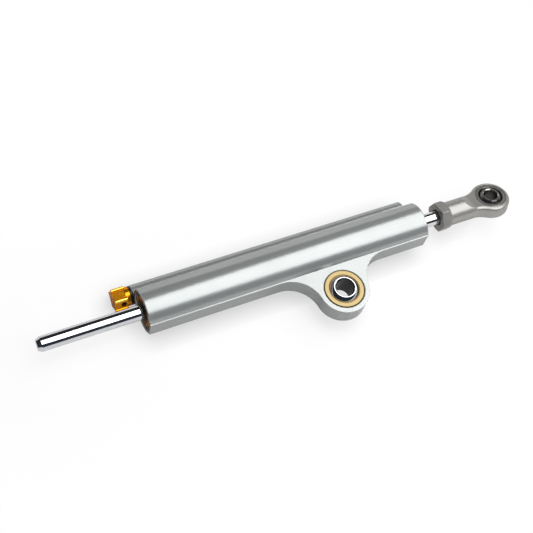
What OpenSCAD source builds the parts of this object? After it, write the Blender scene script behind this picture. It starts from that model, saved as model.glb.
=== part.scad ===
// Motorcycle steering damper: a through-rod cylinder with a one-piece ear, a side tube that carries
// the adjustable bypass, and a rod end. Millimetres.
// Origin at the centre of the ear bearing, +X along the shaft towards the rod end, +Z along the
// ear bearing's bore. The shaft stands at its rest place, with most of it out on the left.

/* [Body] */
// Length of the body between its end faces
body_len = 163; // [155:1:200]
// Bore that the piston runs in
tube_bore = 20; // [18:0.1:20.4]
// Wall of the main tube
tube_wall = 1.9; // [1.5:0.1:4]
// Wall left between the bore and the flat front face
front_wall = 1.2; // [1:0.1:1.4]
// Round tube cut back behind the flat front face
front_cut = 0.4; // [0.2:0.05:0.45]
// Chamfer on the outer edges of both ends
end_chamfer = 0.5; // [0.2:0.1:1]
// Lead-in chamfer at both mouths of the bore
mouth_chamfer = 0.4; // [0.1:0.1:0.7]

/* [Ear] */
// Shaft axis to ear bearing axis
ear_offset = 25; // [24:0.5:34]
// Right end of the body to the ear bearing axis
ear_from_end = 59.4; // [45:0.2:80]
// Wall of the ear round its bearing
ear_wall = 2.8; // [2:0.1:5]
// Thickness of the ear and of the flat front face
plate_t = 10.5; // [9:0.5:12]
// Fillet between the ear and the front face
ear_fillet = 17; // [8:0.5:24]

/* [Ear bearing] */
// Outside diameter of the race
ear_race_d = 22; // [21:0.1:24]
// Diameter of the ball
ear_ball_d = 18.4; // [17.5:0.1:19]
// Width of the ball
ear_ball_w = 14; // [13:0.1:15]
// Bore of the ball, which takes the fixing bolt
ear_bore_d = 10; // [8:0.5:10.5]
// Chamfer on the ball's bore
ball_chamfer = 0.5; // [0.1:0.1:0.7]
// Bevel round the outer edges of the races
race_bevel = 0.35; // [0.1:0.05:0.5]
// Countersink of the ear race beside the ball
ear_race_sink = 0.4; // [0.2:0.1:1]

/* [Side tube] */
// Side tube axis from the shaft axis, away from the ear
side_y = 14.9; // [14.5:0.1:20]
// Side tube axis below the shaft axis
side_drop = 9.5; // [9:0.1:14]
// Bore of the side tube
side_bore = 7; // [6.8:0.1:7.4]
// Wall of the side tube
side_wall = 1.7; // [1.4:0.1:3]
// Fillets of the web between the two tubes
web_fillet = 3; // [1.5:0.1:5]
// Overlap of those fillets with the tubes
web_lap = 0.04; // [0.02:0.02:0.1]
// Transfer ports between the two bores
port_d = 2.4; // [1.5:0.1:3]

/* [Seal heads] */
// Wire of the retaining rings
clip_wire = 1.3; // [1:0.1:1.6]
// Outer face of a retaining ring from the body's end
clip_inset = 1; // [0.8:0.1:2]
// Depth of the retaining ring groove
clip_depth = 0.6; // [0.4:0.05:0.8]
// Opening of the retaining rings in degrees
clip_gap = 40; // [20:5:90]
// Length of a seal head behind its retaining ring
head_len = 28; // [26:0.5:32]
// Raised boss on the outer face of a seal head
boss_d = 16.8; // [15:0.1:17]
// Boss face from the body's end
boss_inset = 0.6; // [0.2:0.1:0.9]
// Chamfer of the boss
boss_chamfer = 0.6; // [0.2:0.1:1]
// Radial width of the wipers
wiper_w = 2.2; // [1.6:0.1:2.6]
// Depth of the wiper seats
wiper_len = 3.2; // [2:0.1:4]
// Height of a wiper's lip beyond the boss
wiper_lip = 0.8; // [0.3:0.1:1.2]
// Thickness of a wiper's lip
wiper_lip_w = 0.7; // [0.4:0.05:0.75]
// Radial width of the rod seals
seal_w = 2.6; // [2:0.1:3.2]
// Length of the rod seals
seal_len = 4; // [3:0.1:5]
// Boss face to the rod seal
seal_depth = 7; // [6:0.1:9]
// Depth of the notch in a rod seal's pressure side
seal_notch = 1.6; // [0.8:0.1:2.2]
// Thickness of a rod seal's lips
seal_lip = 0.5; // [0.3:0.05:0.6]
// Wall of the guide bushes
bush_wall = 1; // [0.6:0.1:1.6]
// Length of the guide bushes
bush_len = 12; // [6:0.5:13]
// Section of the O-rings on the seal heads
head_o_ring = 1.8; // [1.2:0.1:2.4]
// Head shoulder to its O-ring
head_o_depth = 6; // [4:0.5:18]
// Gap between the shaft and the heads' lands
land_gap = 0.3; // [0.2:0.05:0.5]

/* [Stop sleeves] */
// Length of the sleeves that limit the stroke
stop_len = 11; // [8:0.5:14]
// Bore of the stop sleeves
stop_bore = 14; // [12:0.5:15]
// Depth of the oil channel round a sleeve
channel_depth = 1; // [0.5:0.1:1.5]
// Length of the oil slots
slot_len = 4; // [3:0.5:5]
// Width of the oil slots
slot_w = 3; // [2:0.5:4]
// Oil slots in each sleeve
slot_count = 4; // [2:1:6]

/* [Shaft] */
// Diameter of the shaft
shaft_d = 8; // [7.5:0.1:8.6]
// Shaft beyond the left end of the body at rest
shaft_left = 55; // [40:0.5:70]
// Right end of the body to the rod end's hexagon at rest
shaft_gap = 12.4; // [11.8:0.1:30]
// Length of the taper at the left tip
tip_len = 2.2; // [1:0.1:4]
// Radial depth of the taper at the left tip
tip_depth = 1; // [0.5:0.1:1.5]
// Thread held in the rod end
thread_len = 14; // [10:0.5:16]
// Chamfer at the thread's end
thread_chamfer = 0.8; // [0.3:0.1:1.2]

/* [Piston] */
// Length of the piston
piston_len = 14; // [10:0.5:16]
// Left stop sleeve to the piston at rest
piston_rest = 12; // [4:0.5:20]
// Chamfer on the piston's edges
piston_chamfer = 0.8; // [0.3:0.1:1.5]
// Width of the piston ring
ring_w = 4; // [3:0.1:6]
// Thickness of the piston ring
ring_t = 1.2; // [0.8:0.1:1.6]
// Section of the O-ring under the piston ring
ring_o_ring = 1.6; // [1:0.1:2]
// Thickness of the clips that hold the piston
piston_clip_t = 0.9; // [0.6:0.1:1.2]
// Height of those clips above the shaft
piston_clip_h = 1.5; // [1:0.1:2]
// Depth of the clip grooves in the shaft
piston_clip_depth = 0.5; // [0.3:0.05:0.8]

/* [Rod end] */
// Hexagon's face to the eye's centre
rod_end_len = 35.4; // [32:0.1:42]
// Roll of the rod end about the shaft at rest
rod_roll = -15; // [-45:0.5:45]
// Hexagon across flats
hex_af = 15; // [14:0.1:17]
// Length of the hexagon
hex_len = 6.2; // [5:0.1:10]
// Chamfer of the hexagon's face along the shaft
hex_chamfer = 0.4; // [0.2:0.1:1]
// Length of the cone that turns off the corners towards the shank
hex_cone = 2.2; // [1:0.1:3]
// Radial depth of that cone
hex_cone_depth = 1.3; // [0.6:0.1:1.4]
// Diameter of the shank
shank_d = 13.6; // [12.6:0.1:13.9]
// Outside diameter of the eye
eye_d = 22.2; // [22:0.1:24]
// Width of the eye
eye_w = 8.2; // [8:0.1:9.6]
// Rounding of the eye's edges
eye_round = 2; // [1:0.1:2]
// Fillet between the shank and the eye
neck_fillet = 16; // [10:0.5:20]
// Overlap of that fillet with the eye
neck_lap = 0.06; // [0.04:0.02:0.1]
// Depth at which the neck starts inside the shank
neck_sink = 0.1; // [0.05:0.05:0.3]
// Radius of the run-out from the shank to the eye's flats
runout_r = 10; // [6:0.5:14]
// Eye's centre to the end of that run-out
runout_x = 11.5; // [10:0.1:14]
// Counterbore where the shaft enters
entry_d = 9.4; // [9:0.1:10.5]
// Depth of that counterbore
entry_depth = 2; // [1:0.1:3]
// Outside diameter of the rod end's race
rod_race_d = 17.8; // [17:0.1:18.6]
// Countersink of the race beside the ball
rod_race_sink = 0.7; // [0.4:0.1:1.6]
// Diameter of the rod end's ball
rod_ball_d = 14.3; // [13.8:0.1:15]
// Width of that ball
rod_ball_w = 10; // [9.6:0.1:11]
// Bore of that ball, which takes the fixing bolt
rod_bore_d = 8; // [6:0.5:8.5]

/* [Knob] */
// Diameter over the ribs
knob_d = 13.2; // [13:0.1:14]
// Length of the knob
knob_len = 9.1; // [9:0.1:14]
// Ribs round the knob, with a flat between each two
rib_count = 5; // [4:1:5]
// First rib, in degrees from +Y towards +Z
rib_angle = 54; // [0:1:90]
// Width of a rib
rib_w = 2; // [1.6:0.1:2.4]
// Sink of a rib's flanks behind its round crest
rib_lap = 0.03; // [0.02:0.01:0.06]
// Core under the ribs, over its corners
core_d = 11.8; // [11.4:0.1:12.2]
// Length of the round collar behind the ribs
knob_collar_len = 2; // [1:0.1:2.2]
// Diameter of that collar
knob_collar_d = 10.2; // [10:0.1:10.6]
// Chamfer of the knob's edges
knob_chamfer = 0.6; // [0.2:0.1:1]
// Knob to the cartridge's flange
knob_gap = 0.2; // [0.2:0.05:0.6]
// Diameter of the set screw
screw_d = 3; // [2:0.1:3.2]
// Set screw from the knob's outer face
screw_from_face = 4.9; // [3.6:0.1:5.5]
// Length of the set screw
screw_len = 1.9; // [1.5:0.1:2.2]
// Socket of the set screw across its corners
screw_socket = 1.6; // [1:0.1:1.8]
// Depth of that socket
socket_depth = 1; // [0.5:0.1:1.2]
// Flat that holds the set screw, counted on from the first rib
screw_flat = 1; // [1:1:3]

/* [Adjuster] */
// Flange of the cartridge
flange_d = 10.2; // [9.6:0.1:10.4]
// Thickness of that flange
flange_t = 0.9; // [0.9:0.1:1.6]
// Length of the cartridge inside the side tube
cartridge_len = 24; // [23:0.5:26]
// Diameter of the spindle
spindle_d = 4; // [3.6:0.1:4.2]
// Spindle inside the knob
spindle_in_knob = 7; // [6:0.1:7.5]
// Length of the spindle's bearing in the cartridge
bearing_len = 10; // [8:0.5:11]
// Collar that holds the spindle in
collar_d = 4.8; // [4.6:0.1:4.9]
// Thickness of the collar
collar_t = 1.1; // [0.8:0.1:1.5]
// Diameter of the spindle's screw
lead_d = 3; // [2.5:0.1:3.2]
// Length of the spindle's screw
lead_len = 8.8; // [7:0.1:9.5]
// Room in the needle beyond the screw's end at rest
lead_room = 1.5; // [1.2:0.1:1.7]
// Hexagonal way of the needle across its corners
way_d = 5.8; // [5.7:0.1:6]
// Collar to the needle at rest
needle_rest = 1.8; // [1.4:0.1:2]
// Length of the needle's hexagonal carrier
carrier_len = 10.5; // [10:0.1:11]
// Diameter of the needle's stem
stem_d = 2.8; // [2.4:0.1:3]
// Length of the stem
stem_len = 12.5; // [11:0.1:14]
// Length of the needle's taper
taper_len = 5; // [4:0.1:6]
// Tip of the needle's taper
taper_tip_d = 0.8; // [0.5:0.1:1]
// Orifice of the needle seat
orifice_d = 2; // [1.9:0.1:2.4]
// Length of the needle seat
seat_len = 4; // [3:0.1:5]
// Room round the needle at the mouth of the seat
seat_room = 0.6; // [0.4:0.1:1]
// Needle's taper that stands ahead of the seat at rest
taper_ahead = 2; // [2:0.1:2.6]
// Section of the cartridge's O-ring
cartridge_o_ring_d = 1; // [0.8:0.05:1.1]
// Cartridge flange to its O-ring
cartridge_o_depth = 5; // [3:0.5:7]
// Section of the spindle's O-ring
spindle_o_ring_d = 0.8; // [0.6:0.05:0.9]
// Length of the plug at the right end of the side tube
plug_len = 9; // [7:0.5:14]
// Plug's face inside the body's end
plug_inset = 0.5; // [0.2:0.1:1.5]
// Socket of the plug across its corners
plug_socket = 3.6; // [2:0.1:4]
// Depth of that socket
plug_socket_depth = 3; // [2:0.1:4]

/* [Detent] */
// Diameter of the detent ball
detent_d = 1.5; // [1.2:0.1:1.6]
// Detent from the knob's axis
detent_r = 3.7; // [3.5:0.05:3.9]
// Gap round the detent ball in its track
track_gap = 0.1; // [0.05:0.05:0.2]
// Ball standing out of the knob
detent_out = 0.75; // [0.5:0.05:0.85]
// Wire of the detent spring
spring_wire = 0.3; // [0.2:0.05:0.35]
// Pitch of the detent spring
spring_pitch = 0.85; // [0.75:0.05:1]
// Curls of the detent spring
spring_curls = 4; // [2:1:5]

/* [Fits] */
// Broken edges of small pieces
edge_break = 0.15; // [0.05:0.05:0.2]
// Gap round pieces that sit still
fit_gap = 0.03; // [0.02:0.01:0.05]
// Gap round pieces that slide or turn
run_gap = 0.05; // [0.03:0.01:0.08]

/* [Hidden] */
$fn = 96;
// Overlap that keeps cuts clear of the faces they open
over = 0.5;

// Body
body_right = ear_from_end;
body_left = body_right - body_len;
tube_d = tube_bore + 2 * tube_wall;
shaft_y = ear_offset;
wall_y = shaft_y - tube_bore / 2 - front_wall;
side_d = side_bore + 2 * side_wall;
side_dist = norm([side_y, side_drop]);
side_angle = atan2(-side_drop, side_y);

// Ear outline: fillet centres and their tangent points on the ear
ear_r = ear_race_d / 2 + ear_wall;
fillet_y = wall_y - ear_fillet;
fillet_x = sqrt(pow(ear_r + ear_fillet, 2) - pow(fillet_y, 2));
tangent_x = fillet_x * ear_r / (ear_r + ear_fillet);
tangent_y = fillet_y * ear_r / (ear_r + ear_fillet);

// Places along the shaft, measured inwards from either end of the body
head_face = clip_inset + clip_wire + fit_gap;
head_end = head_face + head_len;
seal_start = boss_inset + seal_depth;
stop_start = head_end + fit_gap;
stop_end = stop_start + stop_len;
port_at = stop_start + slot_len / 2;
head_d = tube_bore - 2 * fit_gap;

// Shaft, measured from its left tip
piston_x = body_left + stop_end + piston_rest;
tip_x = body_left - shaft_left;
hex_x = body_right + shaft_gap;
eye_x = hex_x + rod_end_len;
shaft_len = hex_x + thread_len - tip_x;
clip_seat = piston_clip_t + 2 * fit_gap;
clip_a = piston_x - tip_x - run_gap - fit_gap - piston_clip_t;
clip_b = piston_x - tip_x + piston_len + run_gap - fit_gap;

// Rod end outline, about the eye's centre
eye_flat = eye_w / 2 - eye_round;
neck_w = sqrt(pow(shank_d / 2 - eye_round, 2) - pow(eye_flat, 2)) + eye_round - neck_sink;
neck_reach = eye_d / 2 + neck_fillet - neck_lap;
neck_y = neck_w + neck_fillet;
neck_x = sqrt(pow(neck_reach, 2) - pow(neck_y, 2));
neck_end = eye_d / 2 / neck_reach;
shank_end = eye_d / 2 - eye_round;

// Side tube, measured inwards from the left end
knob_back = flange_t + knob_gap;
knob_front = knob_back + knob_len;
rib_pitch = 360 / rib_count;
screw_angle = rib_angle + (screw_flat + 0.5) * rib_pitch;
collar_at = bearing_len + run_gap;
lead_at = collar_at + collar_t;
needle_at = lead_at + needle_rest;
taper_at = needle_at + carrier_len + stem_len;
seat_at = taper_at + taper_ahead;
lead_hole = lead_len - needle_rest + lead_room;
seat_sink = (stem_d - orifice_d) / 2 + seat_room;

// Detent, in a pocket in the knob's back face
pocket_d = detent_d + 2 * run_gap;
ball_at = knob_back + detent_d / 2 - detent_out;
spring_len = spring_curls * spring_pitch + spring_wire;
spring_at = ball_at + detent_d / 2 + fit_gap;
pocket_len = spring_at + spring_len + fit_gap - knob_back;
spring_r = (detent_d - spring_wire) / 2;
spring_rings = 8;
spring_sides = 6;

// Places a shape, with +Z pointing inwards, at the left end of the body on the shaft's axis
module at_left() {
    translate([body_left, shaft_y, 0]) rotate([0, 90, 0]) children();
}

// The same at the right end
module at_right() {
    translate([body_right, shaft_y, 0]) rotate([0, -90, 0]) children();
}

module at_both() {
    at_left() children();
    at_right() children();
}

// Places a shape, with +Z along +X, on the shaft's axis
module on_shaft(x) {
    translate([x, shaft_y, 0]) rotate([0, 90, 0]) children();
}

// Places a shape, with +Z pointing inwards, at the left mouth of the side tube
module at_side() {
    translate([body_left, shaft_y + side_y, -side_drop]) rotate([0, 90, 0]) children();
}

// The same at the right mouth
module at_side_right() {
    translate([body_right, shaft_y + side_y, -side_drop]) rotate([0, -90, 0]) children();
}

// Places a shape at the eye of the rod end, rolled with it
module at_eye() {
    translate([eye_x, shaft_y, 0]) rotate([rod_roll, 0, 0]) children();
}

// Solid bar with chamfered ends
module bar(d, h, c0 = 0, c1 = 0) {
    rotate_extrude()
        polygon([[0, 0], [d / 2 - c0, 0], [d / 2, c0], [d / 2, h - c1], [d / 2 - c1, h], [0, h]]);
}

module ring(d_out, d_in, h) {
    rotate_extrude()
        translate([d_in / 2, 0])
            square([(d_out - d_in) / 2, h]);
}

// Round bore with clearance at both ends
module bore(d, h) {
    translate([0, 0, -over]) cylinder(d = d, h = h + 2 * over);
}

// Conical countersink into a face at z = 0, narrowing towards +Z
module sink(d, depth) {
    translate([0, 0, -over])
        cylinder(d1 = d + 2 * (depth + over), d2 = d, h = depth + over);
}

module o_ring(d_out, section) {
    rotate_extrude()
        translate([(d_out - section) / 2, 0])
            circle(d = section);
}

// Groove for an O-ring of that section in a bar of diameter d, centred on z = 0
module o_groove(d, section) {
    depth = section + fit_gap;
    width = section + 2 * fit_gap;
    translate([0, 0, -width / 2]) ring(d + 2 * over, d - 2 * depth, width);
}

// Web between the two tubes in section: a quadrilateral through the fillet centres
module web_outline() {
    reach_a = tube_d / 2 + web_fillet - web_lap;
    reach_b = side_d / 2 + web_fillet - web_lap;
    along = (pow(reach_a, 2) - pow(reach_b, 2) + pow(side_dist, 2)) / (2 * side_dist);
    across = sqrt(pow(reach_a, 2) - pow(along, 2));
    rotate(side_angle)
        difference() {
            polygon([[0, 0], [along, across], [side_dist, 0], [along, -across]]);
            for (s = [-1, 1]) translate([along, s * across]) circle(r = web_fillet);
        }
}

// Plan of the ear with the strip of flat front face along the body
module ear_outline() {
    polygon([
        [body_left + end_chamfer, wall_y], [body_left, wall_y + end_chamfer], [body_left, shaft_y],
        [body_right, shaft_y], [body_right, wall_y + end_chamfer], [body_right - end_chamfer, wall_y]
    ]);
    circle(r = ear_r);
    difference() {
        polygon([
            [-fillet_x, wall_y + over], [-fillet_x, wall_y], [-tangent_x, tangent_y],
            [tangent_x, tangent_y], [fillet_x, wall_y], [fillet_x, wall_y + over]
        ]);
        for (s = [-1, 1]) translate([s * fillet_x, fillet_y]) circle(r = ear_fillet);
    }
}

// Round tube of the body, cut away where the flat front face replaces it
module main_tube() {
    cut_y = wall_y + front_cut;
    difference() {
        at_left() bar(tube_d, body_len, end_chamfer, end_chamfer);
        translate([body_left - over, cut_y - tube_d, -tube_d / 2])
            cube([body_len + 2 * over, tube_d, tube_d]);
    }
}

// Bored and grooved mouth that takes a seal head
module head_mouth() {
    groove_w = clip_wire + 2 * fit_gap;
    sink(tube_bore, mouth_chamfer);
    translate([0, 0, clip_inset - fit_gap])
        cylinder(d = tube_bore + 2 * clip_depth, h = groove_w);
}

module transfer_port() {
    rotate([side_angle, 0, 0])
        rotate([-90, 0, 0])
            translate([0, 0, tube_bore / 2 - over])
                cylinder(d = port_d, h = side_dist - tube_bore / 2);
}

module housing() {
    color("silver")
        difference() {
            union() {
                main_tube();
                at_side() bar(side_d, body_len, end_chamfer, end_chamfer);
                translate([body_left + end_chamfer, shaft_y, 0])
                    rotate([90, 0, 90])
                        linear_extrude(body_len - 2 * end_chamfer) web_outline();
                translate([0, 0, -plate_t / 2]) linear_extrude(plate_t) ear_outline();
            }
            at_left() bore(tube_bore, body_len);
            at_both() head_mouth();
            at_side() bore(side_bore, body_len);
            translate([0, 0, -plate_t / 2]) bore(ear_race_d, plate_t);
            for (s = [0, 180])
                rotate([s, 0, 0]) translate([0, 0, -plate_t / 2]) sink(ear_race_d, race_bevel);
            translate([body_left + port_at, shaft_y, 0]) transfer_port();
            translate([body_right - port_at, shaft_y, 0]) transfer_port();
        }
}

// Seal head: boss, wiper seat, seal groove and bush seat on one bore
module seal_head() {
    color("darkgoldenrod")
        difference() {
            union() {
                translate([0, 0, boss_inset]) bar(boss_d, head_len, boss_chamfer);
                translate([0, 0, head_face]) bar(head_d, head_len, mouth_chamfer, mouth_chamfer);
            }
            bore(shaft_d + 2 * land_gap, head_end);
            translate([0, 0, boss_inset - over])
                cylinder(d = shaft_d + 2 * wiper_w, h = wiper_len + over);
            translate([0, 0, seal_start]) cylinder(d = shaft_d + 2 * seal_w, h = seal_len);
            translate([0, 0, head_end - bush_len])
                cylinder(d = shaft_d + 2 * (run_gap + bush_wall + fit_gap), h = bush_len + over);
            translate([0, 0, head_face + head_o_depth]) o_groove(head_d, head_o_ring);
        }
}

module left_seal_head() {
    at_left() seal_head();
}

module right_seal_head() {
    at_right() seal_head();
}

module seal_head_o_rings() {
    color("black")
        at_both() translate([0, 0, head_face + head_o_depth]) o_ring(head_d, head_o_ring);
}

module rod_bushes() {
    inner_d = shaft_d + 2 * run_gap;
    color("peru")
        at_both() translate([0, 0, head_end - bush_len + fit_gap])
            ring(inner_d + 2 * bush_wall, inner_d, bush_len - fit_gap);
}

// Lip seal with a notch that the oil spreads
module rod_seals() {
    r_in = shaft_d / 2 + run_gap;
    r_out = shaft_d / 2 + seal_w - fit_gap;
    middle = (r_in + r_out) / 2;
    color("saddlebrown")
        at_both() translate([0, 0, seal_start + fit_gap])
            rotate_extrude()
                polygon([
                    [r_in, 0], [r_out, 0], [r_out, seal_len - 2 * fit_gap],
                    [r_out - seal_lip, seal_len - 2 * fit_gap], [middle, seal_len - seal_notch],
                    [r_in + seal_lip, seal_len - 2 * fit_gap], [r_in, seal_len - 2 * fit_gap]
                ]);
}

// Wiper with a lip that points outwards along the shaft
module rod_wipers() {
    r_in = shaft_d / 2 + run_gap;
    r_out = shaft_d / 2 + wiper_w - fit_gap;
    color("black")
        at_both() translate([0, 0, boss_inset])
            rotate_extrude()
                polygon([
                    [r_in, -wiper_lip], [r_in + wiper_lip_w, -wiper_lip],
                    [r_in + 2 * wiper_lip_w, 0], [r_out, 0], [r_out, wiper_len - fit_gap],
                    [r_in + wiper_lip_w, wiper_len - fit_gap], [r_in, wiper_lip_w]
                ]);
}

module seal_head_circlips() {
    wire_r = (tube_bore - clip_wire) / 2 + clip_depth - fit_gap;
    color("dimgray")
        at_both() translate([0, 0, clip_inset + clip_wire / 2])
            rotate([0, 0, clip_gap / 2])
                rotate_extrude(angle = 360 - clip_gap)
                    translate([wire_r, 0]) circle(d = clip_wire);
}

// Sleeve that limits the stroke, with an oil channel and slots over the transfer port
module stop_sleeves() {
    color("ivory")
        at_both() translate([0, 0, stop_start])
            difference() {
                ring(head_d, stop_bore, stop_len);
                translate([0, 0, -over])
                    ring(tube_bore + 2 * over, head_d - 2 * channel_depth, slot_len + over);
                for (i = [0 : slot_count - 1])
                    rotate([0, 0, i * 360 / slot_count])
                        translate([0, -slot_w / 2, -over])
                            cube([tube_bore, slot_w, slot_len + over]);
            }
}

// Outer race: a ring with a spherical seat and a countersink at each face
module race(d, w, ball_d, land_sink) {
    mouth = sqrt(pow(ball_d + 2 * run_gap, 2) - pow(w - 2 * land_sink, 2));
    difference() {
        translate([0, 0, -w / 2]) bar(d, w, race_bevel, race_bevel);
        sphere(d = ball_d + 2 * run_gap);
        for (s = [0, 180])
            rotate([s, 0, 0]) translate([0, 0, -w / 2]) sink(mouth - 2 * over, land_sink + over);
    }
}

// Ball cut flat on both sides, with a chamfered bore
module ball(d, w, bore_d) {
    difference() {
        intersection() {
            sphere(d = d);
            translate([0, 0, -w / 2]) cylinder(d = d + over, h = w);
        }
        translate([0, 0, -w / 2]) bore(bore_d, w);
        for (s = [0, 180]) rotate([s, 0, 0]) translate([0, 0, -w / 2]) sink(bore_d, ball_chamfer);
    }
}

module ear_race() {
    color("goldenrod") race(ear_race_d - 2 * fit_gap, plate_t, ear_ball_d, ear_race_sink);
}

module ear_ball() {
    color("gainsboro") ball(ear_ball_d, ear_ball_w, ear_bore_d);
}

module shaft() {
    r = shaft_d / 2;
    groove = r - piston_clip_depth;
    end = r - thread_chamfer;
    color("whitesmoke")
        on_shaft(tip_x)
            rotate_extrude()
                polygon([
                    [0, 0], [r - tip_depth, 0], [r, tip_len], [r, clip_a], [groove, clip_a],
                    [groove, clip_a + clip_seat], [r, clip_a + clip_seat], [r, clip_b], [groove, clip_b],
                    [groove, clip_b + clip_seat], [r, clip_b + clip_seat],
                    [r, shaft_len - thread_chamfer], [end, shaft_len], [0, shaft_len]
                ]);
}

module piston() {
    depth = run_gap + ring_t + ring_o_ring + fit_gap;
    width = ring_w + 2 * fit_gap;
    color("lightsteelblue")
        on_shaft(piston_x)
            difference() {
                bar(tube_bore - 2 * run_gap, piston_len, piston_chamfer, piston_chamfer);
                bore(shaft_d + 2 * run_gap, piston_len);
                translate([0, 0, (piston_len - width) / 2])
                    ring(tube_bore + 2 * over, tube_bore - 2 * depth, width);
            }
}

module piston_ring() {
    ring_d = tube_bore - 2 * run_gap;
    color("ivory")
        on_shaft(piston_x + (piston_len - ring_w) / 2)
            ring(ring_d, ring_d - 2 * ring_t, ring_w);
}

module piston_o_ring() {
    color("black")
        on_shaft(piston_x + piston_len / 2)
            o_ring(tube_bore - 2 * (run_gap + ring_t + fit_gap / 2), ring_o_ring);
}

module piston_clips() {
    r_in = shaft_d / 2 - piston_clip_depth + fit_gap;
    r_out = shaft_d / 2 + piston_clip_h;
    color("dimgray")
        for (x = [clip_a, clip_b])
            on_shaft(tip_x + x + fit_gap)
                rotate([0, 0, clip_gap / 2])
                    rotate_extrude(angle = 360 - clip_gap)
                        translate([r_in, 0]) square([r_out - r_in, piston_clip_t]);
}

// Half section of the eye: a bar's edge with rounded corners
module eye_profile() {
    translate([0, -eye_w / 2]) square([eye_d / 2 - eye_round, eye_w]);
    translate([0, -eye_flat]) square([eye_d / 2, 2 * eye_flat]);
    for (s = [-1, 1]) translate([eye_d / 2 - eye_round, s * eye_flat]) circle(r = eye_round);
}

// Round cutter that leaves the eye's rounded edge along the neck's fillet
module neck_cutter() {
    rotate_extrude() {
        translate([0, -eye_w]) square([neck_fillet, 2 * eye_w]);
        for (s = [0, 1])
            mirror([0, s])
                difference() {
                    translate([neck_fillet - over, eye_flat]) square([eye_round + over, eye_w]);
                    translate([neck_fillet + eye_round, eye_flat]) circle(r = eye_round);
                }
    }
}

// Flat-sided neck that widens from the shank to the eye
module neck() {
    difference() {
        translate([0, 0, -eye_w / 2])
            linear_extrude(eye_w)
                polygon([
                    [-neck_x, -neck_w], [-neck_x, neck_w], [-neck_x * neck_end, neck_y * neck_end],
                    [0, 0], [-neck_x * neck_end, -neck_y * neck_end]
                ]);
        for (s = [-1, 1]) translate([-neck_x, s * neck_y, 0]) neck_cutter();
    }
}

// Round shank, cut down to the eye's width with a curved run-out
module shank() {
    start = rod_end_len - hex_len;
    difference() {
        translate([-start - over, 0, 0])
            rotate([0, 90, 0]) cylinder(d = shank_d, h = start + over - shank_end);
        for (s = [-1, 1]) {
            translate([-runout_x, 0, s * (eye_w / 2 + runout_r)])
                rotate([90, 0, 0])
                    cylinder(r = runout_r, h = 2 * shank_d, center = true);
            translate([0, 0, s * (eye_w / 2 + shank_d)])
                cube([2 * runout_x, 2 * shank_d, 2 * shank_d], center = true);
        }
    }
}

// Hexagonal collar, its corners turned off at the face and in a longer cone towards the shank
module hex_collar() {
    corner_d = hex_af / cos(30);
    face_r = corner_d / 2 - hex_chamfer * tan(60);
    intersection() {
        rotate([0, 0, 30]) cylinder(d = corner_d, h = hex_len, $fn = 6);
        rotate_extrude()
            polygon([
                [0, 0], [face_r, 0], [corner_d / 2, hex_chamfer], [corner_d / 2, hex_len - hex_cone],
                [corner_d / 2 - hex_cone_depth, hex_len], [0, hex_len]
            ]);
    }
}

module rod_end_housing() {
    color("darkgray")
        at_eye()
            difference() {
                union() {
                    rotate_extrude() eye_profile();
                    neck();
                    shank();
                    translate([-rod_end_len, 0, 0]) rotate([0, 90, 0]) hex_collar();
                }
                translate([0, 0, -eye_w / 2]) bore(rod_race_d, eye_w);
                translate([-rod_end_len, 0, 0])
                    rotate([0, 90, 0]) {
                        translate([0, 0, -over]) cylinder(d = entry_d, h = entry_depth + over);
                        cylinder(d = shaft_d + 2 * fit_gap, h = thread_len + fit_gap);
                    }
            }
}

module rod_end_race() {
    color("gray") at_eye() race(rod_race_d - 2 * fit_gap, eye_w, rod_ball_d, rod_race_sink);
}

module rod_end_ball() {
    color("dimgray") at_eye() ball(rod_ball_d, rod_ball_w, rod_bore_d);
}

// Cartridge that closes the left mouth of the side tube and guides the spindle and the needle
module adjuster_cartridge() {
    track_d = detent_d + 2 * track_gap;
    color("#202022")
        at_side()
            difference() {
                union() {
                    translate([0, 0, -flange_t]) bar(flange_d, flange_t, edge_break);
                    bar(side_bore - 2 * fit_gap, cartridge_len, 0, mouth_chamfer);
                }
                translate([0, 0, -flange_t]) bore(spindle_d + 2 * run_gap, bearing_len + flange_t - over);
                translate([0, 0, bearing_len]) cylinder(d = way_d, h = cartridge_len, $fn = 6);
                translate([0, 0, cartridge_o_depth]) o_groove(side_bore - 2 * fit_gap, cartridge_o_ring_d);
                translate([0, 0, -ball_at]) rotate_extrude() translate([detent_r, 0]) circle(d = track_d);
            }
}

module cartridge_o_ring() {
    color("black")
        at_side() translate([0, 0, cartridge_o_depth]) o_ring(side_bore - 2 * fit_gap, cartridge_o_ring_d);
}

// Outline across the knob: a flat-sided core with a round-crested rib on each corner
module knob_outline() {
    crest = (knob_d - rib_w) / 2;
    flank_w = rib_w - 2 * rib_lap;
    rotate(rib_angle + 90) {
        polygon([for (i = [0 : rib_count - 1]) core_d / 2 * [cos(i * rib_pitch), sin(i * rib_pitch)]]);
        for (i = [0 : rib_count - 1])
            rotate(i * rib_pitch) {
                translate([0, -flank_w / 2]) square([crest, flank_w]);
                translate([crest, 0]) circle(d = rib_w);
            }
    }
}

// Turns +X to the direction at that angle from +Y towards +Z of the finished part
module turned(angle) {
    rotate([0, 0, angle + 90]) children();
}

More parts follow.
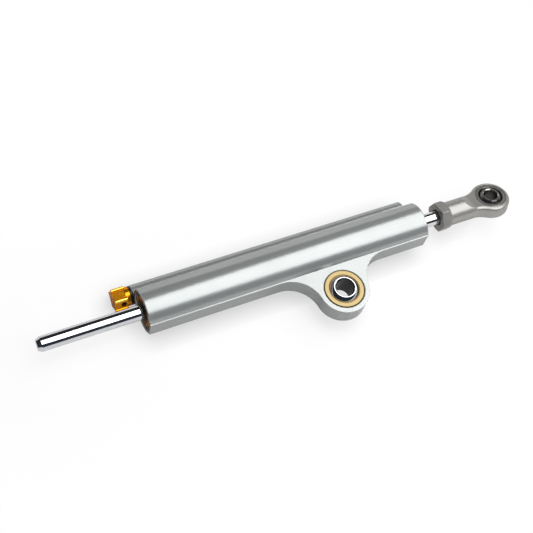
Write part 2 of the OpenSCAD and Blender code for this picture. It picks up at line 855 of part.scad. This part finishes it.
module adjuster_knob() {
    rib_len = knob_len - knob_collar_len;
    color("orange")
        at_side()
            translate([0, 0, -knob_front])
                difference() {
                    union() {
                        intersection() {
                            bar(knob_d + 2 * rib_lap, rib_len, knob_chamfer, knob_chamfer / 2);
                            linear_extrude(rib_len) knob_outline();
                        }
                        translate([0, 0, rib_len - over])
                            bar(knob_collar_d, knob_collar_len + over, 0, edge_break);
                    }
                    translate([0, 0, knob_len - spindle_in_knob])
                        cylinder(d = spindle_d + 2 * fit_gap, h = spindle_in_knob + over);
                    translate([0, 0, screw_from_face])
                        turned(screw_angle)
                            rotate([0, 90, 0]) cylinder(d = screw_d + 2 * fit_gap, h = knob_d);
                    turned(rib_angle)
                        translate([detent_r, 0, knob_len - pocket_len])
                            cylinder(d = pocket_d, h = pocket_len + over);
                }
}

module knob_set_screw() {
    color("#303030")
        at_side()
            translate([0, 0, screw_from_face - knob_front])
                turned(screw_angle)
                    rotate([0, 90, 0])
                        translate([0, 0, spindle_d / 2 + fit_gap])
                            difference() {
                                bar(screw_d, screw_len, 0, edge_break);
                                translate([0, 0, screw_len - socket_depth])
                                    cylinder(d = screw_socket, h = socket_depth + over, $fn = 6);
                            }
}

module adjuster_spindle() {
    color("lightgray")
        at_side()
            difference() {
                union() {
                    translate([0, 0, -knob_back - spindle_in_knob + fit_gap])
                        cylinder(d = spindle_d, h = knob_back + spindle_in_knob + collar_at);
                    translate([0, 0, collar_at]) cylinder(d = collar_d, h = collar_t);
                    translate([0, 0, lead_at]) bar(lead_d, lead_len, 0, edge_break);
                }
                translate([0, 0, cartridge_o_depth]) o_groove(spindle_d, spindle_o_ring_d);
            }
}

module spindle_o_ring() {
    color("black")
        at_side() translate([0, 0, cartridge_o_depth]) o_ring(spindle_d, spindle_o_ring_d);
}

module detent_ball() {
    color("gainsboro")
        at_side() turned(rib_angle) translate([detent_r, 0, -ball_at]) sphere(d = detent_d);
}

// Points of the detent spring: rings of the wire along the helix
function spring_ring(i, sides) =
    let (turn = 360 * i / spring_rings, rise = spring_pitch * i / spring_rings)
    let (lean = atan2(spring_pitch, 2 * PI * spring_r))
    [for (j = [0 : sides - 1])
        let (a = 360 * j / sides, out = spring_wire / 2 * cos(a), up = spring_wire / 2 * sin(a))
        [(spring_r + out) * cos(turn) + up * sin(lean) * sin(turn),
         (spring_r + out) * sin(turn) - up * sin(lean) * cos(turn),
         rise + up * cos(lean)]];

spring_steps = spring_curls * spring_rings;
spring_points = [for (i = [0 : spring_steps]) each spring_ring(i, spring_sides)];
spring_sides_faces = [
    for (i = [0 : spring_steps - 1], j = [0 : spring_sides - 1])
        let (a = i * spring_sides + j, b = i * spring_sides + (j + 1) % spring_sides)
        each [[a, a + spring_sides, b], [b, a + spring_sides, b + spring_sides]]
];
spring_caps = [
    for (j = [1 : spring_sides - 2])
        let (last = spring_steps * spring_sides)
        each [[0, j, j + 1], [last, last + j + 1, last + j]]
];
// Least gap between one curl and the next, measured between their rings
spring_gap = min([
    for (i = [0 : spring_steps - spring_rings], a = spring_ring(i, spring_sides))
        min([for (b = spring_ring(i + spring_rings, spring_sides)) norm(a - b)])
]);
echo(least_gap_in_detent_spring = spring_gap);

module detent_spring() {
    color("silver")
        at_side()
            turned(rib_angle)
                translate([detent_r, 0, -spring_at - spring_len + spring_wire / 2])
                    polyhedron(points = spring_points, faces = concat(spring_sides_faces, spring_caps));
}

// Needle: hexagonal carrier on the spindle's screw, stem and taper
module metering_needle() {
    color("lightgray")
        at_side()
            translate([0, 0, needle_at])
                difference() {
                    union() {
                        cylinder(d = way_d - 2 * run_gap / cos(30), h = carrier_len, $fn = 6);
                        translate([0, 0, carrier_len - over]) cylinder(d = stem_d, h = stem_len + over);
                        translate([0, 0, carrier_len + stem_len])
                            cylinder(d1 = stem_d, d2 = taper_tip_d, h = taper_len);
                    }
                    translate([0, 0, -over]) cylinder(d = lead_d + 2 * run_gap, h = lead_hole + over);
                }
}

module needle_seat() {
    color("gold")
        at_side()
            translate([0, 0, seat_at])
                difference() {
                    bar(side_bore - 2 * fit_gap, seat_len);
                    bore(orifice_d, seat_len);
                    sink(orifice_d, seat_sink);
                }
}

module side_plug() {
    plug_d = side_bore - 2 * fit_gap;
    color("darkgray")
        at_side_right()
            translate([0, 0, plug_inset])
                difference() {
                    bar(plug_d, plug_len, mouth_chamfer, mouth_chamfer);
                    translate([0, 0, -over])
                        cylinder(d = plug_socket, h = plug_socket_depth + over, $fn = 6);
                    translate([0, 0, plug_len / 2 + cartridge_o_ring_d])
                        o_groove(plug_d, cartridge_o_ring_d);
                }
}

module side_plug_o_ring() {
    color("black")
        at_side_right()
            translate([0, 0, plug_inset + plug_len / 2 + cartridge_o_ring_d])
                o_ring(side_bore - 2 * fit_gap, cartridge_o_ring_d);
}

housing();
left_seal_head();
right_seal_head();
seal_head_o_rings();
rod_bushes();
rod_seals();
rod_wipers();
seal_head_circlips();
stop_sleeves();
ear_race();
ear_ball();
shaft();
piston();
piston_ring();
piston_o_ring();
piston_clips();
rod_end_housing();
rod_end_race();
rod_end_ball();
adjuster_cartridge();
cartridge_o_ring();
adjuster_knob();
knob_set_screw();
adjuster_spindle();
spindle_o_ring();
detent_ball();
detent_spring();
metering_needle();
needle_seat();
side_plug();
side_plug_o_ring();
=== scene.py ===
import math

import bmesh
import bpy
from mathutils import Matrix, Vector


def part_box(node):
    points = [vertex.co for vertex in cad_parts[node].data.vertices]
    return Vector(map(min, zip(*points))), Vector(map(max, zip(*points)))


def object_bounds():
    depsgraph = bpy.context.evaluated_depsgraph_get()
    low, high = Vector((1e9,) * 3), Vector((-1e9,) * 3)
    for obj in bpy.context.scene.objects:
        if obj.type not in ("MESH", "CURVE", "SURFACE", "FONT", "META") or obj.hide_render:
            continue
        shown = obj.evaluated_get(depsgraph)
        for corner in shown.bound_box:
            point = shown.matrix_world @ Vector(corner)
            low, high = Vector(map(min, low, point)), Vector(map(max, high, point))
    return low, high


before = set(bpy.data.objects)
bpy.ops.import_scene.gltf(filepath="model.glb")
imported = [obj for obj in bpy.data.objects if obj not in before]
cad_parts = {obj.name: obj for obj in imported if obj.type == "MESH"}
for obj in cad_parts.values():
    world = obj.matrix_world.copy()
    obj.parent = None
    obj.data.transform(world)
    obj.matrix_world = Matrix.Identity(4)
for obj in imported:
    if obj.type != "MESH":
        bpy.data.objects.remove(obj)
cadLow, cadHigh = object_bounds()
scene = bpy.context.scene
scene.view_settings.view_transform = "Standard"
mm = 0.001
print("frame loaded with", len(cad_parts), "pieces")


class Shade:                                   # one shader socket, so that sums are written as sums
    def __init__(self, tree, out=None):
        self.tree, self.out = tree, out

    def node(self, kind, settings=None, sockets=None, output=0):
        made = self.tree.nodes.new("ShaderNode" + kind)
        for name, value in (settings or {}).items():
            setattr(made, name, value)
        for name, value in (sockets or {}).items():
            if isinstance(value, Shade):
                self.tree.links.new(value.out, made.inputs[name])
            else:
                made.inputs[name].default_value = value
        if made.outputs:                       # an output node has none
            return Shade(self.tree, made.outputs[output])

    def maths(self, how, a, b):
        return self.node("Math", {"operation": how}, {0: a, 1: b})

    def __add__(self, other):
        return self.maths("ADD", self, other)

    def __sub__(self, other):
        return self.maths("SUBTRACT", self, other)

    def __rsub__(self, other):
        return self.maths("SUBTRACT", other, self)

    def __mul__(self, other):
        return self.maths("MULTIPLY", self, other)

    def __pow__(self, other):
        return self.maths("POWER", self, other)

    __radd__ = __add__
    __rmul__ = __mul__


def grey(level):
    return (level, level, level, 1)


def colour(rgb):
    return (rgb[0], rgb[1], rgb[2], 1)


def emptyTree(owner):                          # clears a material's or world's nodes, ready for new ones
    owner.use_nodes = True
    owner.node_tree.nodes.clear()
    return Shade(owner.node_tree)


def startFinish(name):
    mat = bpy.data.materials.new(name)
    return mat, emptyTree(mat)


def closeFinish(root, sockets):                # one shader from a finish's fixed and varying values
    shader = root.node("BsdfPrincipled", None, sockets)
    root.node("OutputMaterial", None, {"Surface": shader})


def place(root):                               # object coordinates, in metres
    return root.node("TexCoord", output="Object")


def split(root, vector):                       # a vector's three parts
    return [root.node("SeparateXYZ", None, {0: vector}, output=k) for k in range(3)]


def millimetres(root, stretch=(1, 1, 1)):      # object coordinates, in millimetres
    return root.node("Mapping", None, {"Vector": place(root), "Scale": tuple(s / mm for s in stretch)})


def lathe(root, axis):                         # distance from a piece's axis and place along it
    centre, turn = axis
    local = root.node("Mapping", {"vector_type": "TEXTURE"}, {
        "Vector": place(root), "Location": centre, "Rotation": turn, "Scale": (mm, mm, mm)})
    x, y, along = split(root, local)
    return (x * x + y * y) ** 0.5, along


# What the finishes share: detail and roughness of each noise, and the range that its values mostly fill
noiseKinds = {
    "grain": (2, 0.6), "cloud": (4, 0.55), "drawn": (3, 0.6),
    "rings": (3, 0.6), "patches": (3, 0.5), "skin": (3, 0.6)}
noiseSpan = (0.3, 0.7)
ringSpan = (0.32, 0.68)
cornerSpan = (0.02, 0.25)                      # how far a corner's normal turns before it gets the worn and painted-highlight tone
bevelSamples = 6
ringShare = 0.6                                # of the rings in a turned piece's roughness
boreFade = 0.05                                # millimetres


def noise(root, kind, where, scale):
    detail, roughness = noiseKinds[kind]
    return root.node("TexNoise", None, {
        "Vector": where, "Scale": scale, "Detail": detail, "Roughness": roughness})


def spread(root, value, span, to=(0, 1)):
    return root.node("MapRange", {"clamp": True}, {
        "Value": value, "From Min": span[0], "From Max": span[1], "To Min": to[0], "To Max": to[1]})


def blend(root, mask, a, b):
    return root.node("Mix", {"data_type": "RGBA"}, {"Factor": mask, 6: a, 7: b}, output=2)


def tones(root, look, mask):                   # from a finish's dark tone to its light one
    return blend(root, mask, colour(look["dark"]), colour(look["light"]))


def edgeMask(root, rounded):                   # 1 on corners, which get wear and a painted highlight, 0 on open faces
    face = root.node("NewGeometry", output="True Normal")
    alike = root.node("VectorMath", {"operation": "DOT_PRODUCT"}, {0: rounded, 1: face}, output="Value")
    return spread(root, 1 - alike, cornerSpan)


def bump(root, height, depth, normal=None):    # depth in millimetres
    sockets = {"Height": height, "Distance": depth * mm}
    if normal:
        sockets["Normal"] = normal
    return root.node("Bump", None, sockets)


def wornEdgesAndPaintedHighlight(root, look, base):               # rounded edges, lightened towards a bare-metal colour: partly wear, partly a painted highlight
    if not look["edge"]:
        return None, base
    rounded = root.node("Bevel", {"samples": bevelSamples}, {"Radius": look["edge"] * mm})
    return rounded, blend(root, edgeMask(root, rounded) * look["wearAndHighlight"], base, colour(look["bareAndHighlight"]))


# Blasted and anodised, or blasted and plated: a fine even grain with slow clouding
def blastedFinish(look):
    mat, root = startFinish(look["name"])
    where = millimetres(root)
    grain = noise(root, "grain", where, look["grainScale"])
    cloud = noise(root, "cloud", where, look["cloudScale"])
    drawn = noise(root, "drawn", millimetres(root, look["drawn"]), 1.0)
    tone = spread(root, cloud * 0.5 + drawn * 0.5, noiseSpan)
    rounded, base = wornEdgesAndPaintedHighlight(root, look, tones(root, look, tone))
    if "endShadeTone" in look:                      # painted shade: the ends get a darker brown tone, standing in for their shade and a reflection of the gold seal heads
        low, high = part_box(look["pieces"][0])
        x = split(root, place(root))[0]
        reach = look["endShadeReach"] * mm
        shadedEnds = spread(root, x, (low[0] + reach, low[0])) + spread(root, x, (high[0] - reach, high[0]))
        base = blend(root, shadedEnds, base, colour(look["endShadeTone"]))
    closeFinish(root, {
        "Base Color": base, "Roughness": spread(root, grain * 0.5 + drawn * 0.5, noiseSpan, look["rough"]),
        "Normal": bump(root, grain, look["grainDepth"], rounded), "Metallic": look["metal"],
        "Specular IOR Level": look["gloss"], "Specular Tint": colour(look["grazing"])})
    return mat


# Turned or ground metal: fine rings round its axis, a bore darkened with painted shade, and rings of other
# tones at given radii, of which some are painted shade and some painted highlight
def turnedFinish(look):
    mat, root = startFinish(look["name"])
    radius, along = lathe(root, look["axis"])
    pitch = look["ringPitch"]
    rings = noise(root, "rings", root.node("CombineXYZ", None, {0: radius * pitch, 1: along * pitch}), 1.0)
    cloud = noise(root, "patches", millimetres(root), look["cloudScale"])
    tone = spread(root, cloud * 0.5 + rings * 0.5, ringSpan)
    rounded, base = wornEdgesAndPaintedHighlight(root, look, tones(root, look, tone))
    rough = spread(root, rings * ringShare + cloud * (1 - ringShare), noiseSpan, look["rough"])
    # rings of another tone at given radii; on some pieces these are painted shade or a painted highlight
    for middle, width, rimToneAndPaintedLight in look.get("rimTonesAndPaintedLight", []):
        off = root.maths("ABSOLUTE", radius - middle, 0)
        base = blend(root, spread(root, off, (width / 2, width), (1, 0)), base, colour(rimToneAndPaintedLight))
    # painted shade: the bore is darkened towards a near-black tone
    if "bore" in look:
        shadedBore = spread(root, radius, (look["bore"] + boreFade, look["bore"] - boreFade))
        base = blend(root, shadedBore, base, colour(look["boreShade"]))
        rough = rough + shadedBore * look["boreRough"]
    closeFinish(root, {
        "Base Color": base, "Roughness": rough, "Normal": bump(root, rings, look["ringDepth"], rounded),
        "Metallic": look["metal"], **look.get("fixed", {})})
    return mat


# Rubber and plastic: matt, with a faint moulded skin
def mouldedFinish(look):
    mat, root = startFinish(look["name"])
    where = millimetres(root)
    skin = noise(root, "skin", where, look["skinScale"])
    cloud = noise(root, "patches", where, look["cloudScale"])
    closeFinish(root, {
        "Base Color": tones(root, look, spread(root, cloud, noiseSpan)),
        "Roughness": spread(root, skin * 0.5 + cloud * 0.5, noiseSpan, look["rough"]),
        "Normal": bump(root, skin, look["skinDepth"]), "Metallic": 0.0, "Specular IOR Level": look["gloss"]})
    return mat


def dress(maker, look):                        # makes a finish and gives it to its pieces
    finish = maker(look)
    for piece in look["pieces"]:
        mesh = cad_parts[piece].data
        mesh.materials.clear()
        mesh.materials.append(finish)


quarter = math.pi / 2
shaftAxis = ((0, 0.025, 0), (0, quarter, 0))
sideAxis = ((0, 0.0399, -0.0095), (0, quarter, 0))
earAxis = ((0, 0, 0), (0, 0, 0))
eyeAxis = ((0.1072, 0.025, 0), (math.radians(-15), 0, 0))

body = {
    "name": "bodySatinWithPaintedLight", "pieces": ["housing"], "metal": 0.5,
    "dark": (0.35, 0.367, 0.362), "light": (0.39, 0.407, 0.402), "rough": (0.18, 0.25),
    # edges lightened towards bare metal: wear and a painted highlight
    # the body's ends carry painted shade and a painted brown reflection
    "edge": 0.25, "wearAndHighlight": 0.8, "bareAndHighlight": (0.86, 0.87, 0.88), "endShadeTone": (0.13, 0.105, 0.085), "endShadeReach": 0.3,
    "gloss": 0.25, "grazing": (0.5, 0.49, 0.48),
    "grainScale": 2.0, "grainDepth": 0.05, "cloudScale": 0.06, "drawn": (0.02, 0.9, 0.9)}
dress(blastedFinish, body)

rodEnd = {
    "name": "rodEndSatin", "pieces": ["rod_end_housing"], "metal": 0.55,
    "dark": (0.34, 0.335, 0.322), "light": (0.38, 0.375, 0.36), "rough": (0.3, 0.36),
    # edges lightened towards bare metal: wear and a painted highlight
    "edge": 0.4, "wearAndHighlight": 0.6, "bareAndHighlight": (0.8, 0.79, 0.77),
    "gloss": 0.25, "grazing": (0.45, 0.42, 0.39),
    "grainScale": 7.0, "grainDepth": 0.003, "cloudScale": 0.12, "drawn": (0.3, 0.3, 0.3)}
dress(blastedFinish, rodEnd)

shaft = {
    "name": "shaftChrome", "pieces": ["shaft"], "metal": 1.0, "axis": shaftAxis,
    "dark": (0.58, 0.59, 0.62), "light": (0.64, 0.645, 0.67), "rough": (0.03, 0.07),
    "edge": 0, "ringPitch": 14.0, "ringDepth": 0.0002, "cloudScale": 0.1}
dress(turnedFinish, shaft)

earRace = {
    "name": "earRaceBrass", "pieces": ["ear_race"], "metal": 0.85, "axis": earAxis,
    "dark": (0.262, 0.2, 0.09), "light": (0.312, 0.24, 0.116), "rough": (0.24, 0.34),
    "edge": 0, "ringPitch": 3.5, "ringDepth": 0.002, "cloudScale": 0.2,
    "rimTonesAndPaintedLight": [(10.8, 0.55, (0.1, 0.065, 0.03)), (8.3, 0.4, (0.2, 0.135, 0.06))]}
dress(turnedFinish, earRace)

earBall = {
    "name": "earBallSteelWithPaintedShade", "pieces": ["ear_ball"], "metal": 1.0, "axis": earAxis,
    "dark": (0.44, 0.45, 0.47), "light": (0.52, 0.53, 0.55), "rough": (0.05, 0.1),
    "edge": 0, "ringPitch": 6.0, "ringDepth": 0.0004, "cloudScale": 0.2,
    # the bore's dark tone is painted shade
    "bore": 5.05, "boreShade": (0.055, 0.055, 0.055), "boreRough": 0.12}
dress(turnedFinish, earBall)

rodBall = {
    "name": "rodBallSteelWithPaintedLight", "pieces": ["rod_end_ball"], "metal": 0.8, "axis": eyeAxis,
    # painted light: the ball is near-black for its dark reflections, its flat ring is painted lighter, and its
    # bore is painted shade
    "dark": (0.08, 0.08, 0.08), "light": (0.11, 0.11, 0.11), "rough": (0.12, 0.18),
    "edge": 0, "ringPitch": 6.0, "ringDepth": 0.0004, "cloudScale": 0.2,
    "bore": 4.05, "boreShade": (0.06, 0.057, 0.053), "boreRough": 0.15,
    "rimTonesAndPaintedLight": [(4.6, 0.62, (0.5, 0.49, 0.47))]}
dress(turnedFinish, rodBall)

rodRace = {
    "name": "rodRaceSteelWithPaintedShade", "pieces": ["rod_end_race"], "metal": 0.8, "axis": eyeAxis,
    "dark": (0.26, 0.25, 0.235), "light": (0.33, 0.32, 0.3), "rough": (0.28, 0.38),
    "edge": 0, "ringPitch": 3.0, "ringDepth": 0.001, "cloudScale": 0.2,
    # the inner ring is painted shade on the race's inner cone; the outer ring is a thin dark line at its edge
    "rimTonesAndPaintedLight": [(8.85, 0.2, (0.08, 0.08, 0.075)), (6.5, 0.6, (0.02, 0.02, 0.019))]}
dress(turnedFinish, rodRace)

sealHeads = {
    "name": "sealHeadGoldWithPaintedShade", "pieces": ["left_seal_head", "right_seal_head"], "metal": 0.75, "axis": shaftAxis,
    # painted shade: the gold is darkened to brown, as the ends lie in shade
    "dark": (0.4, 0.2, 0.05), "light": (0.54, 0.3, 0.09), "rough": (0.22, 0.32),
    "edge": 0.12, "wearAndHighlight": 0.4, "bareAndHighlight": (0.7, 0.5, 0.2),
    "ringPitch": 3.0, "ringDepth": 0.002, "cloudScale": 0.2,
    "fixed": {"Specular Tint": (0.4, 0.24, 0.08, 1), "Specular IOR Level": 0.2}}
dress(turnedFinish, sealHeads)

knob = {
    "name": "knobGoldWithPaintedHighlight", "pieces": ["adjuster_knob"], "metal": 0.75, "axis": sideAxis,
    "dark": (0.7, 0.265, 0.008), "light": (0.76, 0.295, 0.01), "rough": (0.14, 0.17),
    # edges lightened to yellow: wear and a painted highlight
    "edge": 0.12, "wearAndHighlight": 0.5, "bareAndHighlight": (1.0, 0.55, 0.08),
    "ringPitch": 12.0, "ringDepth": 0.0001, "cloudScale": 0.3,
    # painted highlight: the rib crests get a bright yellow tone
    "rimTonesAndPaintedLight": [(6.6, 0.5, (1.0, 0.6, 0.1))],
    "fixed": {"Specular Tint": (0.5, 0.36, 0.3, 1), "Specular IOR Level": 0.15}}
dress(turnedFinish, knob)

cartridge = {
    "name": "cartridgeBlack", "pieces": ["adjuster_cartridge"], "metal": 0.6, "axis": sideAxis,
    "dark": (0.012, 0.012, 0.014), "light": (0.025, 0.025, 0.027), "rough": (0.3, 0.4),
    "edge": 0, "ringPitch": 4.0, "ringDepth": 0.001, "cloudScale": 0.3}
dress(turnedFinish, cartridge)

setScrew = {
    "name": "setScrewBlack", "pieces": ["knob_set_screw"], "metal": 0.8, "axis": sideAxis,
    "dark": (0.02, 0.02, 0.02), "light": (0.05, 0.05, 0.05), "rough": (0.3, 0.45),
    "edge": 0, "ringPitch": 3.0, "ringDepth": 0.001, "cloudScale": 0.5}
dress(turnedFinish, setScrew)

steelPieces = {
    "name": "plainSteel", "pieces": ["adjuster_spindle", "detent_ball", "metering_needle", "side_plug"],
    "metal": 1.0, "axis": sideAxis,
    "dark": (0.5, 0.5, 0.5), "light": (0.62, 0.62, 0.61), "rough": (0.2, 0.32),
    "edge": 0.1, "wearAndHighlight": 0.4, "bareAndHighlight": (0.75, 0.75, 0.75),
    "ringPitch": 5.0, "ringDepth": 0.002, "cloudScale": 0.2}
dress(turnedFinish, steelPieces)

springPieces = {
    "name": "springSteel", "pieces": ["seal_head_circlips", "piston_clips", "detent_spring"],
    "metal": 1.0, "axis": shaftAxis,
    "dark": (0.2, 0.19, 0.18), "light": (0.3, 0.29, 0.27), "rough": (0.25, 0.38),
    "edge": 0, "ringPitch": 2.0, "ringDepth": 0.001, "cloudScale": 0.3}
dress(turnedFinish, springPieces)

bushes = {
    "name": "bushBronze", "pieces": ["rod_bushes"], "metal": 1.0, "axis": shaftAxis,
    "dark": (0.48, 0.31, 0.15), "light": (0.62, 0.43, 0.24), "rough": (0.35, 0.5),
    "edge": 0, "ringPitch": 2.0, "ringDepth": 0.004, "cloudScale": 0.5}
dress(turnedFinish, bushes)

pistonHead = {
    "name": "pistonAlloy", "pieces": ["piston"], "metal": 1.0, "axis": shaftAxis,
    "dark": (0.62, 0.63, 0.65), "light": (0.74, 0.75, 0.77), "rough": (0.2, 0.32),
    "edge": 0.15, "wearAndHighlight": 0.3, "bareAndHighlight": (0.85, 0.85, 0.86),
    "ringPitch": 6.0, "ringDepth": 0.002, "cloudScale": 0.2}
dress(turnedFinish, pistonHead)

needleSeat = {
    "name": "needleSeatBrass", "pieces": ["needle_seat"], "metal": 1.0, "axis": sideAxis,
    "dark": (0.68, 0.48, 0.17), "light": (0.8, 0.6, 0.26), "rough": (0.2, 0.3),
    "edge": 0, "ringPitch": 6.0, "ringDepth": 0.002, "cloudScale": 0.2}
dress(turnedFinish, needleSeat)

rubberPieces = {
    "name": "blackRubber",
    "pieces": ["seal_head_o_rings", "piston_o_ring", "cartridge_o_ring", "spindle_o_ring", "side_plug_o_ring"],
    "gloss": 0.3, "dark": (0.009, 0.007, 0.005), "light": (0.02, 0.016, 0.012), "rough": (0.45, 0.62),
    "skinScale": 6.0, "skinDepth": 0.006, "cloudScale": 0.4}
dress(mouldedFinish, rubberPieces)

wipers = {
    "name": "wiperBrown", "pieces": ["rod_wipers"], "gloss": 0.15,
    "dark": (0.016, 0.009, 0.004), "light": (0.03, 0.018, 0.009), "rough": (0.5, 0.65),
    "skinScale": 6.0, "skinDepth": 0.006, "cloudScale": 0.4}
dress(mouldedFinish, wipers)

rodSeals = {
    "name": "rodSealBrown", "pieces": ["rod_seals"], "gloss": 0.45,
    "dark": (0.13, 0.055, 0.02), "light": (0.2, 0.09, 0.04), "rough": (0.35, 0.5),
    "skinScale": 5.0, "skinDepth": 0.004, "cloudScale": 0.4}
dress(mouldedFinish, rodSeals)

slipPieces = {
    "name": "slipPlastic", "pieces": ["stop_sleeves", "piston_ring"], "gloss": 0.4,
    "dark": (0.72, 0.7, 0.64), "light": (0.82, 0.8, 0.75), "rough": (0.4, 0.55),
    "skinScale": 4.0, "skinDepth": 0.004, "cloudScale": 0.3}
dress(mouldedFinish, slipPieces)
print("finishes:", len(bpy.data.materials))


# Studio: white table with a painted shadow in its glow close under the part, one large softbox overhead, a
# dark surround that only reflections see
studio = {
    "tableGap": 0.1 * mm, "tableSize": 4.0, "tableWhite": 0.88, "tableGlow": 0.86, "mirrorGlow": 0.2,
    # reach and depth of the shadow painted into the table's glow
    "shadowSpan": (0.03, 0.08), "paintedShadowReach": 0.013, "paintedShadowTone": 0.5, "paintedShadowSamples": 16,
    "boxSize": (1.06, 1.3), "boxCentre": (0.31, -0.2, 0.915), "boxTurn": (0, 28, 14),
    "boxRadiance": 3.7, "boxTint": (1.0, 1.0, 1.0), "fill": 0.12, "fillTint": (0.97, 0.985, 1.0),
    "tentRadius": 1.3, "tentSides": 72, "tentFrom": 0.12, "tentRise": 0.24, "tentTo": 1.4,
    "tentFront": (0.035, 0.045, 0.055), "tentBack": (0.03, 0.03, 0.028), "tentSpan": (-0.5, 0.5)}


def addObject(name, data):
    made = bpy.data.objects.new(name, data)
    scene.collection.objects.link(made)
    return made


def seenDirectly(root):                        # 1 for rays that show the background: camera, gloss and glass
    kinds = ("Is Camera Ray", "Is Glossy Ray", "Is Transmission Ray")
    cameraRay, glossyRay, clearRay = (root.node("LightPath", output=kind) for kind in kinds)
    return root.maths("MINIMUM", cameraRay + glossyRay + clearRay, 1.0)


def awayFromPart(root, look):                  # 0 near the part, where its shadow lies, 1 on the open table
    x, y, _ = split(root, place(root))
    past = x - root.maths("MINIMUM", root.maths("MAXIMUM", x, cadLow.x), cadHigh.x)
    aside = y - shaftAxis[0][1]
    return spread(root, (past * past + aside * aside) ** 0.5, look["shadowSpan"])


def setTable(look):
    low = cadLow.z - look["tableGap"]
    half = look["tableSize"] / 2
    corners = [(-half, -half, low), (half, -half, low), (half, half, low), (-half, half, low)]
    mesh = bpy.data.meshes.new("table")
    mesh.from_pydata(corners, [], [(0, 1, 2, 3)])
    table = addObject("table", mesh)
    mat, root = startFinish("tableWhite")
    matt = root.node("BsdfDiffuse", None, {"Color": grey(look["tableWhite"])})
    paintedShadowMask = root.node(                       # painted shadow: the glow is darker where the part stands close over the table
        "AmbientOcclusion", {"samples": look["paintedShadowSamples"]}, {"Distance": look["paintedShadowReach"]}, output="AO")
    white = blend(root, paintedShadowMask, grey(look["paintedShadowTone"]), grey(1.0))
    glow = root.node("Emission", None, {"Color": white, "Strength": 1.0})
    cameraRay = root.node("LightPath", output="Is Camera Ray")
    toCamera = cameraRay * (look["tableGlow"] + awayFromPart(root, look) * (1 - look["tableGlow"]))
    toMirrors = (seenDirectly(root) - cameraRay) * look["mirrorGlow"]
    mixed = root.node("MixShader", None, {0: toCamera + toMirrors, 1: matt, 2: glow})
    under = root.node("NewGeometry", output="Backfacing")      # clear from below, so that the underside shows
    mixed = root.node("MixShader", None, {0: under, 1: mixed, 2: root.node("BsdfTransparent")})
    root.node("OutputMaterial", None, {"Surface": mixed})
    mesh.materials.append(mat)


def setRoom(look):
    scene.world = bpy.data.worlds.new("room")
    root = emptyTree(scene.world)
    fill = root.node("Background", None, {"Color": colour(look["fillTint"]), "Strength": look["fill"]})
    white = root.node("Background", None, {"Color": grey(1.0), "Strength": 1.0})
    mixed = root.node("MixShader", None, {0: seenDirectly(root), 1: fill, 2: white})
    root.node("OutputWorld", None, {"Surface": mixed})


def setSoftbox(look):
    light = bpy.data.lights.new("softbox", "AREA")
    light.shape = "RECTANGLE"
    light.size, light.size_y = look["boxSize"]
    light.energy = look["boxRadiance"] * math.pi * light.size * light.size_y
    light.color = look["boxTint"]
    box = addObject("softbox", light)
    box.location = look["boxCentre"]
    box.rotation_euler = [math.radians(a) for a in look["boxTurn"]]
    box.visible_camera = False


def setTent(look):
    bm = bmesh.new()
    bmesh.ops.create_circle(
        bm, segments=look["tentSides"], radius=look["tentRadius"],
        matrix=Matrix.Translation((0, 0, look["tentFrom"])))
    for v in bm.verts:                         # higher at the back, so that the shaft's top edge mirrors white
        v.co.z += look["tentRise"] * max(0.0, v.co.y / look["tentRadius"])
    wall = bmesh.ops.extrude_edge_only(bm, edges=bm.edges[:])["geom"]
    top = [v for v in wall if isinstance(v, bmesh.types.BMVert)]
    for v in top:
        v.co.z = look["tentTo"]
    bm.faces.new(sorted(top, key=lambda v: math.atan2(v.co.y, v.co.x)))
    mesh = bpy.data.meshes.new("tent")
    bm.to_mesh(mesh)
    bm.free()
    tent = addObject("tent", mesh)
    mat, root = startFinish("tentCloth")
    toBack = spread(root, split(root, place(root))[1], look["tentSpan"])
    cloth = blend(root, toBack, colour(look["tentFront"]), colour(look["tentBack"]))
    glow = root.node("Emission", None, {"Color": cloth, "Strength": 1.0})
    root.node("OutputMaterial", None, {"Surface": glow})
    mesh.materials.append(mat)
    for ray in ("camera", "diffuse", "shadow", "transmission", "volume_scatter"):
        setattr(tent, "visible_" + ray, False)


setTable(studio)
setRoom(studio)
setSoftbox(studio)
setTent(studio)
print("studio set")

# Camera, as fitted to the photograph
camera = {
    "place": (-0.2057, -0.1809, 0.4799), "right": (0.90453, -0.3977, 0.15384),
    "up": (0.28788, 0.83569, 0.46771), "back": (-0.31457, -0.37876, 0.87039),
    "focalPixels": 1037.93, "framePixels": 533, "sensor": 36.0, "clip": (0.01, 20.0)}


def setCamera(look):
    lens = bpy.data.cameras.new("camera")
    lens.sensor_width = look["sensor"]
    lens.lens = look["focalPixels"] / look["framePixels"] * look["sensor"]
    lens.clip_start, lens.clip_end = look["clip"]
    axes = Matrix((look["right"], look["up"], look["back"])).transposed()
    scene.camera = addObject("camera", lens)
    scene.camera.matrix_world = Matrix.Translation(look["place"]) @ axes.to_4x4()


setCamera(camera)
print("camera set")
